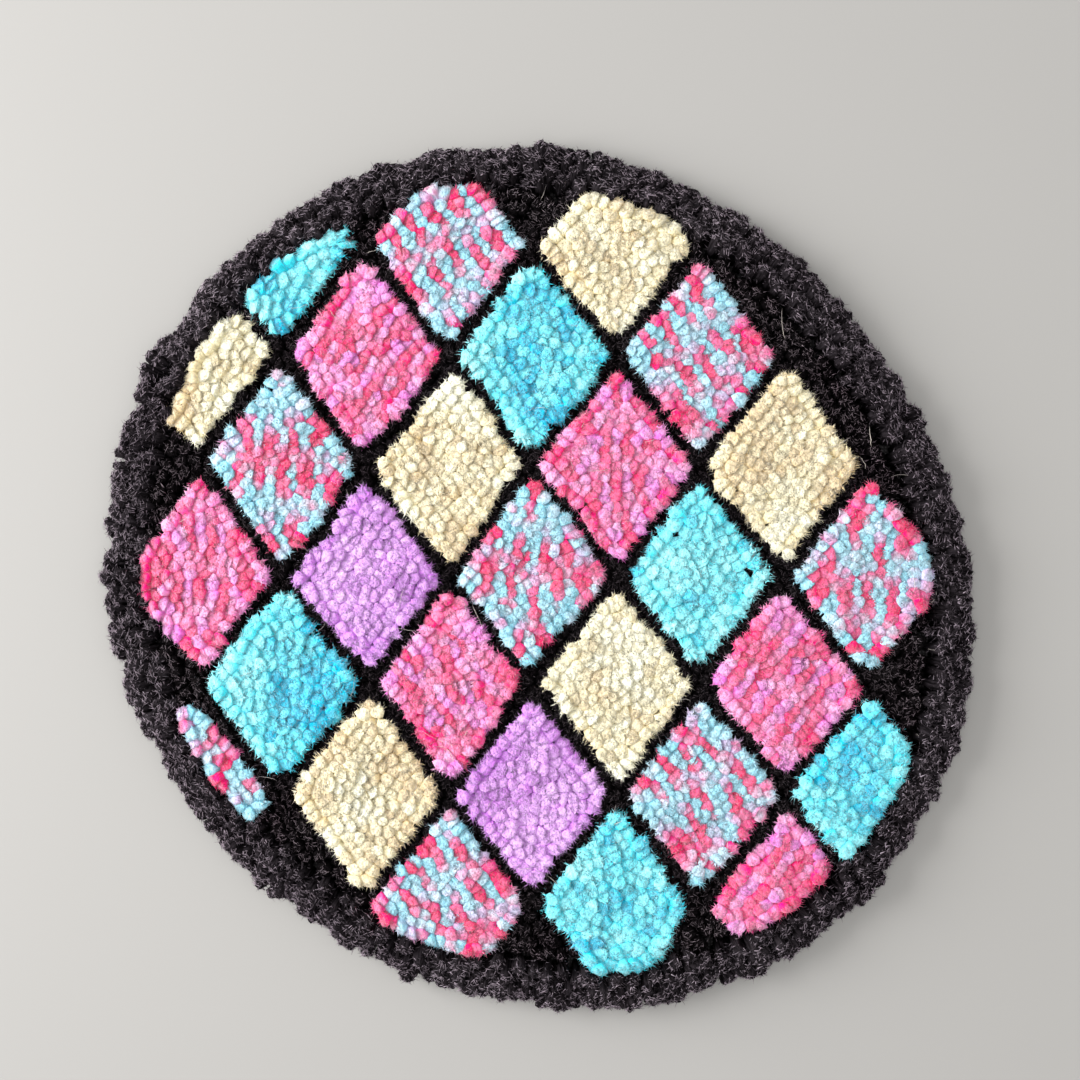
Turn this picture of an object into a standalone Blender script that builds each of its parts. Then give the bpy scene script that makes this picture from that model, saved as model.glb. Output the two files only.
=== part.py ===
# Round table rug of cut yarn pile, as one solid: a low slab with an uneven top, and locks of pile round its rim.
# Metres, +Z up. The origin is on the table, under the middle of the rug. The rug lies flat on its underside.

import math
import random

import bmesh
import bpy
from mathutils import Vector, noise
from mathutils.geometry import delaunay_2d_cdt

# Outline, seen from above, at the tips of the rim locks
MEAN_RADIUS = 0.150
OVAL_SWELL = 0.0068  # the handmade outline is a little longer along one diagonal
OVAL_DIRECTION = math.radians(-43)
EGG_SWELL = 0.0014
EGG_DIRECTION = math.radians(-37)

# Heights above the table
PILE_TOP = 0.0130
SHOULDER_HEIGHT = 0.0120
ROW_SPLIT = 0.0054  # the height at which the lower row of locks ends and the upper row begins
LUMP_HEIGHT = 0.0014
LUMP_LENGTH = 0.015

# Rim locks, which leave a sloping wall in two rows
LOCKS_ROUND = 140
LOCK_REACH = 0.0084
REACH_UNEVENNESS = 0.0022
WIDTH_UNEVENNESS = 0.16  # as a share of a lock's width
SWAY = 0.0003
SHOULDER_INSET = 0.0030
LOCK_SEED = 7
#   name, height at the tip, sideways turn of the tip as a share of a lock's width
LOCK_ROWS = (
    ("lower", 0.0020, -0.24),
    ("upper", 0.0084, 0.24),
)
#   name, share of the way out, size beside the root
LOCK_SECTIONS = (
    ("belly", 0.55, 0.84),
    ("tip", 1.00, 0.40),
)
# A few locks that stand out past the rest
#   degrees round the rim, extra reach
STRAY_LOCKS = (
    (89, 0.0030),
    (151, 0.0034),
    (180, 0.0032),
    (252, 0.0042),
)

# Spacing of the points that carry the uneven top
TOP_STEP = 0.0074
TOP_MARGIN = 0.0046

CHARCOAL_YARN = (0.022, 0.020, 0.022, 1.0)
YARN_ROUGHNESS = 0.95


def clear_scene():
    for thing in list(bpy.data.objects):
        bpy.data.objects.remove(thing)


def rim_radius(angle):
    """Distance from the middle to the tips of the rim locks."""
    oval = OVAL_SWELL * math.cos(2 * (angle - OVAL_DIRECTION))
    egg = EGG_SWELL * math.cos(3 * (angle - EGG_DIRECTION))
    return MEAN_RADIUS + oval + egg


def around(angle, inset, height):
    """A point that far inside the rim."""
    radius = rim_radius(angle) - inset
    return Vector((radius * math.cos(angle), radius * math.sin(angle), height))


def lumpy_height(x, y):
    """Height of the uneven top: broad soft lumps, as groups of tufts lean together."""
    broad = noise.noise(Vector((x, y, 0)) / LUMP_LENGTH)
    fine = noise.noise(Vector((x, y, MEAN_RADIUS)) / (LUMP_LENGTH / 2))
    return PILE_TOP + LUMP_HEIGHT * (broad + 0.5 * fine)


def column_angles(chance):
    """Where the locks part from each other round the rim, so that no two are quite as wide."""
    width = math.tau / LOCKS_ROUND
    return [
        width * (column + chance.uniform(-WIDTH_UNEVENNESS, WIDTH_UNEVENNESS))
        for column in range(LOCKS_ROUND)
    ]


def ring_of_points(mesh, angles, inset, height):
    return [mesh.verts.new(around(angle, inset, height)) for angle in angles]


def wall_between(mesh, lower, upper):
    """Quads from one ring of points up to the next, faces outward."""
    faces = []
    for column in range(LOCKS_ROUND):
        after = (column + 1) % LOCKS_ROUND
        faces.append(
            mesh.faces.new((lower[column], lower[after], upper[after], upper[column]))
        )
    return faces


def top_points(shoulder):
    """The shoulder's points, then a staggered net of points inside it."""
    flat = [point.co.xy.copy() for point in shoulder]
    rows = int(2 * MEAN_RADIUS / TOP_STEP)
    row_step = TOP_STEP * math.sqrt(3) / 2
    for row in range(-rows, rows + 1):
        stagger = TOP_STEP / 2 if row % 2 else 0.0
        for column in range(-rows, rows + 1):
            x = column * TOP_STEP + stagger
            y = row * row_step
            room = rim_radius(math.atan2(y, x)) - LOCK_REACH - SHOULDER_INSET - TOP_MARGIN
            if math.hypot(x, y) < room:
                flat.append(Vector((x, y)))
    return flat


def fill_top(mesh, shoulder):
    """Triangles over the whole top, raised into soft lumps inside the shoulder."""
    flat = top_points(shoulder)
    rim = [(i, (i + 1) % LOCKS_ROUND) for i in range(LOCKS_ROUND)]
    places, _, triangles, *_ = delaunay_2d_cdt(flat, rim, [], 1, 1e-7)
    points = list(shoulder)
    for place in places[LOCKS_ROUND:]:
        points.append(mesh.verts.new((place.x, place.y, lumpy_height(place.x, place.y))))
    for triangle in triangles:
        mesh.faces.new([points[index] for index in triangle])


def stray_reach(angle):
    """Extra reach of the lock whose column holds a stray one."""
    half_column = math.pi / LOCKS_ROUND
    for degrees, extra in STRAY_LOCKS:
        turn = (angle - math.radians(degrees) + math.pi) % math.tau - math.pi
        if abs(turn) <= half_column:
            return extra
    return 0.0


def pull_locks(mesh, faces, tip_height, tip_turn, chance):
    """Pulls each wall face out, section by section, into a tapered lock of pile."""
    lock_width = math.tau * MEAN_RADIUS / LOCKS_ROUND
    for face in faces:
        root = face.calc_center_median()
        corners = [corner.co - root for corner in face.verts]
        angle = math.atan2(root.y, root.x)
        outward = Vector((math.cos(angle), math.sin(angle), 0))
        sideways = Vector((-outward.y, outward.x, 0))
        reach = LOCK_REACH + stray_reach(angle) - REACH_UNEVENNESS * chance.random()
        tip = root + outward * reach
        tip += sideways * (tip_turn * lock_width + chance.uniform(-SWAY, SWAY))
        tip.z = tip_height
        for _, share, size in LOCK_SECTIONS:
            face = bmesh.ops.extrude_discrete_faces(mesh, faces=[face])["faces"][0]
            middle = root.lerp(tip, share)
            for corner, offset in zip(face.verts, corners):
                corner.co = middle + offset * size


def centre_on_origin(mesh):
    """Moves the rug sideways so that the middle of its outline is over the origin."""
    middle = Vector((0, 0, 0))
    for axis in (0, 1):
        values = [point.co[axis] for point in mesh.verts]
        middle[axis] = (min(values) + max(values)) / 2
    bmesh.ops.translate(mesh, verts=mesh.verts, vec=-middle)


def yarn_material(name, colour):
    material = bpy.data.materials.new(name)
    material.use_nodes = True
    shader = material.node_tree.nodes["Principled BSDF"]
    shader.inputs["Base Color"].default_value = colour
    shader.inputs["Roughness"].default_value = YARN_ROUGHNESS
    shader.inputs["Metallic"].default_value = 0.0
    return material


def make_rug():
    chance = random.Random(LOCK_SEED)
    mesh = bmesh.new()
    angles = column_angles(chance)
    foot = ring_of_points(mesh, angles, LOCK_REACH, 0.0)
    split = ring_of_points(mesh, angles, LOCK_REACH, ROW_SPLIT)
    shoulder = ring_of_points(mesh, angles, LOCK_REACH + SHOULDER_INSET, SHOULDER_HEIGHT)
    walls = (wall_between(mesh, foot, split), wall_between(mesh, split, shoulder))
    fill_top(mesh, shoulder)
    mesh.faces.new(list(reversed(foot)))
    for faces, (_, tip_height, tip_turn) in zip(walls, LOCK_ROWS):
        pull_locks(mesh, faces, tip_height, tip_turn, chance)
    centre_on_origin(mesh)
    bmesh.ops.recalc_face_normals(mesh, faces=mesh.faces)

    data = bpy.data.meshes.new("tufted_rug")
    mesh.to_mesh(data)
    mesh.free()
    data.materials.append(yarn_material("charcoal_pile", CHARCOAL_YARN))
    rug = bpy.data.objects.new("tufted_rug", data)
    bpy.context.scene.collection.objects.link(rug)
    return rug


clear_scene()
make_rug()
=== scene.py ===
import math
import random

import bpy
import numpy as np
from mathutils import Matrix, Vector, noise
from mathutils.bvhtree import BVHTree
from mathutils.kdtree import KDTree


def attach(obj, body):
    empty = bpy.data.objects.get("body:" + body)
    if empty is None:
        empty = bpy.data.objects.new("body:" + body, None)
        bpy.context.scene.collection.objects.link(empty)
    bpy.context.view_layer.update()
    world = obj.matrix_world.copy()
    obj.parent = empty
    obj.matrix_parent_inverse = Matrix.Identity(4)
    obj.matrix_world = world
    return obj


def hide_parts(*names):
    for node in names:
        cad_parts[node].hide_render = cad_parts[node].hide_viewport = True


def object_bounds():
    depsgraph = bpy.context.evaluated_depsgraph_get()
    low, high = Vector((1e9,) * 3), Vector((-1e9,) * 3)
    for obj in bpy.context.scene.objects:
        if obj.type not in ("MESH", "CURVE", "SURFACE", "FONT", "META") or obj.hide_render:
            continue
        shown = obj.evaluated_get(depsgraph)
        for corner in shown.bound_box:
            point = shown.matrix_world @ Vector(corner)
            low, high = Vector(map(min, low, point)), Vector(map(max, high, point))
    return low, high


noise.seed_set(7)

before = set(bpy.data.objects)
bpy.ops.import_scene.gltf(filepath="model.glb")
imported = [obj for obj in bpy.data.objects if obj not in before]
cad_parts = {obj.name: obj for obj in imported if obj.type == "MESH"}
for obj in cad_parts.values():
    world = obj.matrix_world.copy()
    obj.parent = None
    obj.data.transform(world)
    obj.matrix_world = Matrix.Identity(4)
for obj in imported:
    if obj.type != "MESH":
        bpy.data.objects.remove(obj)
cadLow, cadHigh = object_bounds()
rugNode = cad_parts["tufted_rug"]
print("frame loaded:", sorted(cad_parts))


# what the solid says: where the underside ends, and how high the pile stands
reading = {
    "footSteps": 7200,  # directions in which the distance to the underside's edge is kept
    "floorLevel": 1e-5,  # corners below this height belong to the underside
    "rayHeight": 0.1,  # the rays that find the top start here
    "beyond": 0.8,  # pile height where no ray meets the solid, as a share of the solid's
}


def readSolid(node):
    corners = np.array([v.co for v in node.data.vertices])
    foot = corners[corners[:, 2] < reading["floorLevel"]]
    turns = np.arctan2(foot[:, 1], foot[:, 0])
    order = np.argsort(turns)
    even = np.arange(reading["footSteps"]) * math.tau / reading["footSteps"]
    radii = np.interp(even, turns[order], np.hypot(foot[:, 0], foot[:, 1])[order], period=math.tau)
    tree = BVHTree.FromPolygons(
        [v.co for v in node.data.vertices], [tuple(p.vertices) for p in node.data.polygons]
    )
    return {"radii": radii.tolist(), "tree": tree}


solid = readSolid(rugNode)


def footRadius(turn):
    steps = reading["footSteps"]
    return solid["radii"][round(turn / math.tau * steps) % steps]


def pileTopAt(x, y):
    hit = solid["tree"].ray_cast(Vector((x, y, reading["rayHeight"])), Vector((0, 0, -1)))[0]
    return hit.z if hit else cadHigh.z * reading["beyond"]


def deselectAll():
    if bpy.context.object and bpy.context.object.mode != "OBJECT":
        bpy.ops.object.mode_set(mode="OBJECT")
    bpy.ops.object.select_all(action="DESELECT")


# camera: straight above, so that the rug's middle falls a little below the picture's middle
camera = {
    "lens": 45,
    "sensor": 36,
    "frameWidth": 0.3733,  # metres of table across the picture, at the top of the pile
    "lookAt": (0.0013, 0.0124, 0.013),
}


def placeCamera():
    height = camera["frameWidth"] * camera["lens"] / camera["sensor"]
    x, y, z = camera["lookAt"]
    bpy.ops.object.camera_add(location=(x, y, z + height), rotation=(0, 0, 0))
    eye = bpy.context.object
    eye.name = "camera"
    eye.data.lens = camera["lens"]
    eye.data.sensor_width = camera["sensor"]
    bpy.context.scene.camera = eye
    print("camera", round(height, 3), "m above the pile")


placeCamera()

# the design: plain lozenges on a black ground
design = {
    "across": 0.058,
    "up": 0.076,
    "strip": 0.0092,  # black strip between two lozenges
    "lineInset": 0.0010,  # the outermost line of tufts, inside the lozenge's edge
    "waver": 0.0020,  # how far a hand-set edge strays
    "waverLength": 0.040,
    "loose": 0.0006,  # how far a tuft strays from its place in the line
    "border": 0.0088,  # dark border, from the cloth's edge inwards
    # how many half lozenges above the middle a row lies, and its yarns from left to right
    "rows": [
        (4, ["pink"]),
        (3, ["sky", "mix", "cream", "pink"]),
        (2, ["cream", "pink", "sky", "mix", "lavender"]),
        (1, ["mix", "cream", "pink", "cream"]),
        (0, ["pink", "lavender", "mix", "sky", "mix"]),
        (-1, ["sky", "pink", "cream", "pink"]),
        (-2, ["mix", "cream", "lavender", "mix", "sky"]),
        (-3, ["pink", "mix", "sky", "pink"]),
        (-4, ["cream"]),
    ],
    "turns": [90, 53, 90, 127],  # directions of the tufting lines in the lozenges, degrees
    "fewest": 22,  # a lozenge that the border leaves fewer tufts of is left out
}

# spacing of the tufts along and between the lines, how thick they are, in how many rounds they push
# each other out of their lines, and the largest bare spot between them, as a share of the spacing
yarns = {
    "cream": {"step": 0.0035, "line": 0.0036, "width": 1.04, "rounds": 14, "bare": 0.73},
    "lavender": {"step": 0.0035, "line": 0.0036, "width": 1.00, "rounds": 12, "bare": 0.74},
    "sky": {"step": 0.0038, "line": 0.0040, "width": 1.20, "rounds": 14, "bare": 0.71},
    "pink": {"step": 0.0032, "line": 0.0039, "width": 1.00, "rounds": 6, "bare": 0.76},
    "mix": {"step": 0.0031, "line": 0.0040, "width": 1.00, "rounds": 5, "bare": 0.76},
    "black": {"step": 0.0038, "line": 0.0038, "width": 1.02, "rounds": 12},
}


def lozenges():
    found = []
    for halfSteps, names in design["rows"]:
        for column, yarn in enumerate(names):
            x = (column - (len(names) - 1) / 2) * design["across"]
            turnIndex = (column + 2 * halfSteps) % len(design["turns"])
            turn = math.radians(design["turns"][turnIndex])
            found.append({"x": x, "y": halfSteps * design["up"] / 2, "yarn": yarn, "turn": turn})
    return found


patches = lozenges()


def wavered(x, y):
    drift = noise.noise_vector(Vector((x, y, 0)) / design["waverLength"])
    return x + drift.x * design["waver"], y + drift.y * design["waver"]


def insidePatch(patch, x, y):
    # distance in from the lozenge's nearest edge, negative outside
    halfAcross, halfUp = design["across"] / 2, design["up"] / 2
    wx, wy = wavered(x, y)
    share = 1 - abs(wx - patch["x"]) / halfAcross - abs(wy - patch["y"]) / halfUp
    return share * halfAcross * halfUp / math.hypot(halfAcross, halfUp) - design["strip"] / 2


def edgeRoom(x, y):
    return footRadius(math.atan2(y, x)) - math.hypot(x, y)


# how the tufts are set in the cloth. The distances with no unit are shares of the yarn's step
packing = {
    "middleNet": (0.003, 14, 10),  # spacing in metres, rows and columns to each side
    "bareNet": (0.0008, 50, 38),
    "middleSpots": 6,  # a lozenge with no more of these spots inside the border is left out
    "walkTurns": 360,  # directions in which the way to a lozenge's edge is measured
    "walkHalvings": 14,
    "walkReach": 0.06,
    "fieldReach": 0.045,  # how far from a lozenge's middle its lines are laid, in metres
    "startDepth": 0.4,  # inside the outermost line, where the lines of tufts end at first
    "keptDepth": 0.5,  # inside the outermost line, once the tufts have pushed each other
    "startGap": 0.72,  # from the nearest tuft of another line
    "wanted": 1.26,  # how far apart the tufts push each other
    "wantedAfter": 1.15,  # the same, after the bare spots are filled
    "fillings": 3,
    "fillRounds": 3,
    "give": 0.16,  # share of an overlap that one push takes away
    "pulls": 8,  # a tuft pushed out of its lozenge is pulled back this many times at most
    "pull": 0.05,
}
samePlace = 1e-6  # metres


def patchDepth(patch, x, y):
    return min(insidePatch(patch, x, y), edgeRoom(x, y) - design["border"])


def spotsOver(patch, net):
    # the spots of a square net over the lozenge that lie inside its outermost line
    step, rows, columns = net
    for row in range(-rows, rows + 1):
        for column in range(-columns, columns + 1):
            x, y = patch["x"] + column * step, patch["y"] + row * step
            if patchDepth(patch, x, y) > design["lineInset"]:
                yield x, y


def middleOf(patch):
    # the middle of what the border leaves of the lozenge
    found = list(spotsOver(patch, packing["middleNet"]))
    return tuple(np.mean(found, 0)) if len(found) > packing["middleSpots"] else None


def outlinePoints(patch, middle):
    # walks round the lozenge, just inside its edge, and sets a tuft at each step
    walk = []
    for number in range(packing["walkTurns"]):
        turn = math.tau * number / packing["walkTurns"]
        low, high = 0.0, packing["walkReach"]
        for _ in range(packing["walkHalvings"]):
            reach = (low + high) / 2
            x, y = middle[0] + math.cos(turn) * reach, middle[1] + math.sin(turn) * reach
            if patchDepth(patch, x, y) > design["lineInset"]:
                low = reach
            else:
                high = reach
        walk.append((middle[0] + math.cos(turn) * low, middle[1] + math.sin(turn) * low))
    walk = np.array(walk + walk[:1])
    passed = np.concatenate([[0], np.cumsum(np.hypot(*np.diff(walk, axis=0).T))])
    count = max(3, round(passed[-1] / yarns[patch["yarn"]]["step"]))
    stops = np.arange(count) * passed[-1] / count
    xs, ys = (np.interp(stops, passed, walk[:, axis]) for axis in (0, 1))
    return [(float(x), float(y)) for x, y in zip(xs, ys)]


def treeOf(points):
    tree = KDTree(len(points))
    for index, (x, y) in enumerate(points):
        tree.insert((x, y, 0), index)
    tree.balance()
    return tree


def spread(movers, fixed, wanted, rounds, keepIn):
    # tufts that stand too close push each other aside, until the cloth is evenly filled
    for _ in range(rounds):
        tree = treeOf(movers + fixed)
        moved = []
        for index, (x, y) in enumerate(movers):
            push = Vector((0, 0))
            for place, other, gap in tree.find_range((x, y, 0), wanted):
                if other != index and gap > samePlace:
                    push += (Vector((x, y)) - place.xy) * ((wanted - gap) / gap)
            moved.append(keepIn(x + push.x * packing["give"], y + push.y * packing["give"]))
        movers = moved
    return movers


def holesIn(patch, points, room):
    # spots in the lozenge that are left too bare
    tree = treeOf(points)
    found = []
    for x, y in spotsOver(patch, packing["bareNet"]):
        if tree.find((x, y, 0))[2] > room:
            if all(math.hypot(x - px, y - py) > room for px, py in found):
                found.append((x, y))
    return found


# a variegated yarn changes colour on its way along each line, mostly out of step with the next line
dyeing = {
    "lineShift": 0.5,  # in cycles of the dye
    "lineStray": 0.17,
    "rate": (0.075, 0.105),  # cycles from one tuft to the next
    "start": 9,
}


def setPatchTufts(patch, dice):
    middle = middleOf(patch)
    if not middle:
        return []
    yarn = yarns[patch["yarn"]]
    step = yarn["step"]
    along = Vector((math.cos(patch["turn"]), math.sin(patch["turn"])))
    across = Vector((-along.y, along.x))
    outline = outlinePoints(patch, middle)
    reach = int(packing["fieldReach"] / step)
    gap = packing["startGap"] * step
    inside = []
    for line in range(-reach, reach + 1):
        offset = dice.uniform(0, step)
        for stitch in range(-reach, reach + 1):
            s = offset + stitch * step + dice.uniform(-1, 1) * design["loose"]
            t = line * yarn["line"] + dice.uniform(-1, 1) * design["loose"]
            x = middle[0] + along.x * s + across.x * t
            y = middle[1] + along.y * s + across.y * t
            if patchDepth(patch, x, y) > design["lineInset"] + packing["startDepth"] * step:
                if all(math.hypot(x - px, y - py) > gap for px, py in outline):
                    inside.append((x, y))

    def keepIn(x, y):
        for _ in range(packing["pulls"]):
            if patchDepth(patch, x, y) > design["lineInset"] + packing["keptDepth"] * step:
                break
            x += (middle[0] - x) * packing["pull"]
            y += (middle[1] - y) * packing["pull"]
        return x, y

    inside = spread(inside, outline, packing["wanted"] * step, yarn["rounds"], keepIn)
    for _ in range(packing["fillings"]):
        inside += holesIn(patch, inside + outline, yarn["bare"] * step)
        inside = spread(inside, outline, packing["wantedAfter"] * step, packing["fillRounds"], keepIn)
    stray = dyeing["lineStray"]
    starts = [dyeing["lineShift"] * line + dice.uniform(-stray, stray) for line in range(2 * reach + 1)]
    rates = [dice.uniform(*dyeing["rate"]) for _ in range(2 * reach + 1)]
    tufts = []
    for index, (x, y) in enumerate(inside + outline):
        s = (x - middle[0]) * along.x + (y - middle[1]) * along.y
        t = (x - middle[0]) * across.x + (y - middle[1]) * across.y
        line = max(0, min(2 * reach, round(t / yarn["line"]) + reach))
        tufts.append(
            {
                "x": x,
                "y": y,
                "yarn": patch["yarn"],
                "kind": "pile" if index < len(inside) else "edge",
                "depth": patchDepth(patch, x, y),
                "middle": middle,
                "dye": starts[line] + s / step * rates[line] + dyeing["start"],
            }
        )
    return tufts if len(tufts) >= design["fewest"] else []


rim = {
    "locks": 1300,
    "room": 0.0029,  # no lock is set closer than this to a coloured tuft
    "fieldEdge": 0.0112,  # where the upright pile begins, from the cloth's edge inwards
    # from the top of the rim to the table: inset from the cloth's edge, slope at the root and at
    # the tip in degrees, length
    "levels": [
        (0.0086, 5, 25, 0.0126),
        (0.0062, 11, 36, 0.0130),
        (0.0042, 19, 47, 0.0133),
        (0.0024, 28, 60, 0.0134),
        (0.0012, 42, 76, 0.0126),
        (0.0008, 62, 90, 0.0110),
    ],
    # longer locks that stand out past the rest: direction in degrees, extra length
    "strays": [(89, 0.0028), (151, 0.0030), (180, 0.0034), (252, 0.0044)],
    "lumpLength": 0.0070,  # how far apart the bulges of the rim are
    "lumpSize": 0.24,  # how much longer the locks in a bulge are, as a share
    "lumpTip": 10,  # how much further they bend over, degrees
    "mixing": 60,  # by how many locks the order of the levels is mixed
    "lowShare": 0.75,  # below 1, more of the locks stand near the table
    "turnStray": 0.008,
    "strayWidth": 0.020,  # how broad a group of longer locks is, in radians
    "sway": 0.26,  # sideways lean that neighbours share, in radians
    "looseSway": 0.18,
    "rootStray": 4,
    "tipStray": 7,
    "width": (0.88, 1.16),
    "glint": (0.72, 0.40),  # painted glint: lightness of the fibres at the top, and what it gains down to the table
}


def setRimTufts(taken, dice):
    # each lock is set a golden part of a turn after the last, which fills the rim evenly
    golden = math.tau * (math.sqrt(5) - 1) / 2
    tree = treeOf(taken)
    last = len(rim["levels"]) - 1
    tufts = []
    for number in range(rim["locks"]):
        place = (number + dice.uniform(-rim["mixing"], rim["mixing"])) / rim["locks"]
        level = last * min(1, max(0, place)) ** rim["lowShare"]
        inset, root, tip, length = (
            float(np.interp(level, range(last + 1), values)) for values in zip(*rim["levels"])
        )
        turn = (number * golden + dice.uniform(-rim["turnStray"], rim["turnStray"])) % math.tau
        radius = footRadius(turn) - inset
        x, y = radius * math.cos(turn), radius * math.sin(turn)
        if tree.find((x, y, 0))[2] < rim["room"]:
            continue
        extra = 0
        for degrees, more in rim["strays"]:
            away = abs((turn - math.radians(degrees) + math.pi) % math.tau - math.pi)
            extra = max(extra, more * math.exp(-((away / rim["strayWidth"]) ** 2)))
        spot = Vector((x, y, inset)) / rim["lumpLength"]
        lump = noise.noise(spot)
        drift = noise.noise(spot + Vector((7, 3, 5)))  # the same noise in another place
        tufts.append(
            {
                "x": x,
                "y": y,
                "yarn": "black",
                "kind": "rim",
                "dye": 0,
                "turn": turn + drift * rim["sway"] + dice.uniform(-1, 1) * rim["looseSway"],
                "length": length * (1 + rim["lumpSize"] * lump) + extra,
                "root": math.radians(root + dice.uniform(-rim["rootStray"], rim["rootStray"])),
                "tip": math.radians(
                    tip + rim["lumpTip"] * lump + dice.uniform(-rim["tipStray"], rim["tipStray"])
                ),
                "width": dice.uniform(*rim["width"]),
                "glint": rim["glint"][0] + rim["glint"][1] * level / last,
            }
        )
    return tufts


def setGroundTufts(taken, dice):
    # the black ground and the border fill what the lozenges and the rim leave
    tree = treeOf(taken)
    step = yarns["black"]["step"]
    lineStep = step * math.sqrt(3) / 2
    lines = int(cadHigh.y / lineStep) + 1
    gap = packing["startGap"] * step
    found = []
    for line in range(-lines, lines + 1):
        for column in range(-lines, lines + 1):
            x = (column + (line % 2) / 2) * step + dice.uniform(-1, 1) * design["loose"]
            y = line * lineStep + dice.uniform(-1, 1) * design["loose"]
            if edgeRoom(x, y) > rim["fieldEdge"] and tree.find((x, y, 0))[2] > gap:
                found.append((x, y))
    wanted = packing["wanted"] * step
    found = spread(found, taken, wanted, yarns["black"]["rounds"], lambda x, y: (x, y))
    return [{"x": x, "y": y, "yarn": "black", "kind": "ground", "dye": 0} for x, y in found]


dice = random.Random(11)
patchTufts = [tuft for patch in patches for tuft in setPatchTufts(patch, dice)]
rimTufts = setRimTufts([(tuft["x"], tuft["y"]) for tuft in patchTufts], dice)
groundTufts = setGroundTufts([(tuft["x"], tuft["y"]) for tuft in patchTufts + rimTufts], dice)
fieldTufts = patchTufts + groundTufts
print("tufts set:", len(patchTufts), "in lozenges,", len(groundTufts), "ground,", len(rimTufts), "rim")

# how the pile leans. A lean is a share: 1 is about as far sideways as up
pile = {
    "rootHeight": 0.0010,
    "lowest": 0.0001,  # no fibre comes closer to the table
    "crown": 0.0005,  # how far a rounded end and its fibres stand above the tuft's length
    "nap": (-0.13, 0.02),  # the whole pile is brushed a little to the left
    "clumpLean": 0.12,
    "clumpLength": 0.017,
    "clumpSlice": 0.7,  # height at which the noise is read
    "looseLean": 0.07,
    "edgeLean": 0.16,  # tufts at a lozenge's edge spread over the black ones
    "edgeWidth": 0.0040,
    "middleSpot": 0.001,  # closer to a lozenge's middle no tuft leans outwards
    "borderLean": 0.55,
    "borderWidth": 0.0090,
    "mostLean": 1.1,
    "rootSlope": 0.35,  # slope at the root, at the cut end and on the whole, for a lean of 1
    "tipSlope": 1.55,
    "wholeSlope": 0.9,
    "groundDrop": 0.0011,  # the black tufts are trimmed a little lower
    "unevenness": 0.00018,
    "width": (0.92, 1.10),
    "spinStray": 0.3,  # how far the outer side of a tuft at an edge may be turned, in radians
    "rimGlint": 2.6,  # painted glint: how much lighter the fibres of the ground are beside the rim
    "glintWidth": 0.0080,
}


def leanTufts(tufts, dice):
    for tuft in tufts:
        x, y = tuft["x"], tuft["y"]
        clump = noise.noise_vector(Vector((x, y, pile["clumpSlice"])) / pile["clumpLength"])
        lean = Vector(pile["nap"]) + Vector((clump.x, clump.y)) * pile["clumpLean"]
        lean += Vector((dice.gauss(0, 1), dice.gauss(0, 1))) * pile["looseLean"]
        room = edgeRoom(x, y)
        out = Vector((x, y)).normalized()
        lean += out * pile["borderLean"] * math.exp(-room / pile["borderWidth"])
        if tuft["yarn"] != "black":
            middle = tuft["middle"]
            away = Vector((x - middle[0], (y - middle[1]) * design["across"] / design["up"]))
            tuft["out"] = math.atan2(away.y, away.x)
            if away.length > pile["middleSpot"]:
                share = max(0.0, 1 - tuft["depth"] / pile["edgeWidth"])
                lean += away.normalized() * pile["edgeLean"] * share
        amount = min(lean.length, pile["mostLean"])
        top = pileTopAt(x, y) - pile["rootHeight"] - pile["crown"] + dice.gauss(0, 1) * pile["unevenness"]
        if tuft["yarn"] == "black":
            top -= pile["groundDrop"]
            beside = math.exp(-max(0, room - rim["fieldEdge"]) / pile["glintWidth"])
            tuft["glint"] = 1 + pile["rimGlint"] * beside
        tuft["turn"] = math.atan2(lean.y, lean.x)
        tuft["root"] = pile["rootSlope"] * amount
        tuft["tip"] = pile["tipSlope"] * amount
        tuft["length"] = top / math.cos(pile["wholeSlope"] * amount)
        tuft["width"] = yarns[tuft["yarn"]]["width"] * dice.uniform(*pile["width"])


leanTufts(fieldTufts, dice)
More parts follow.
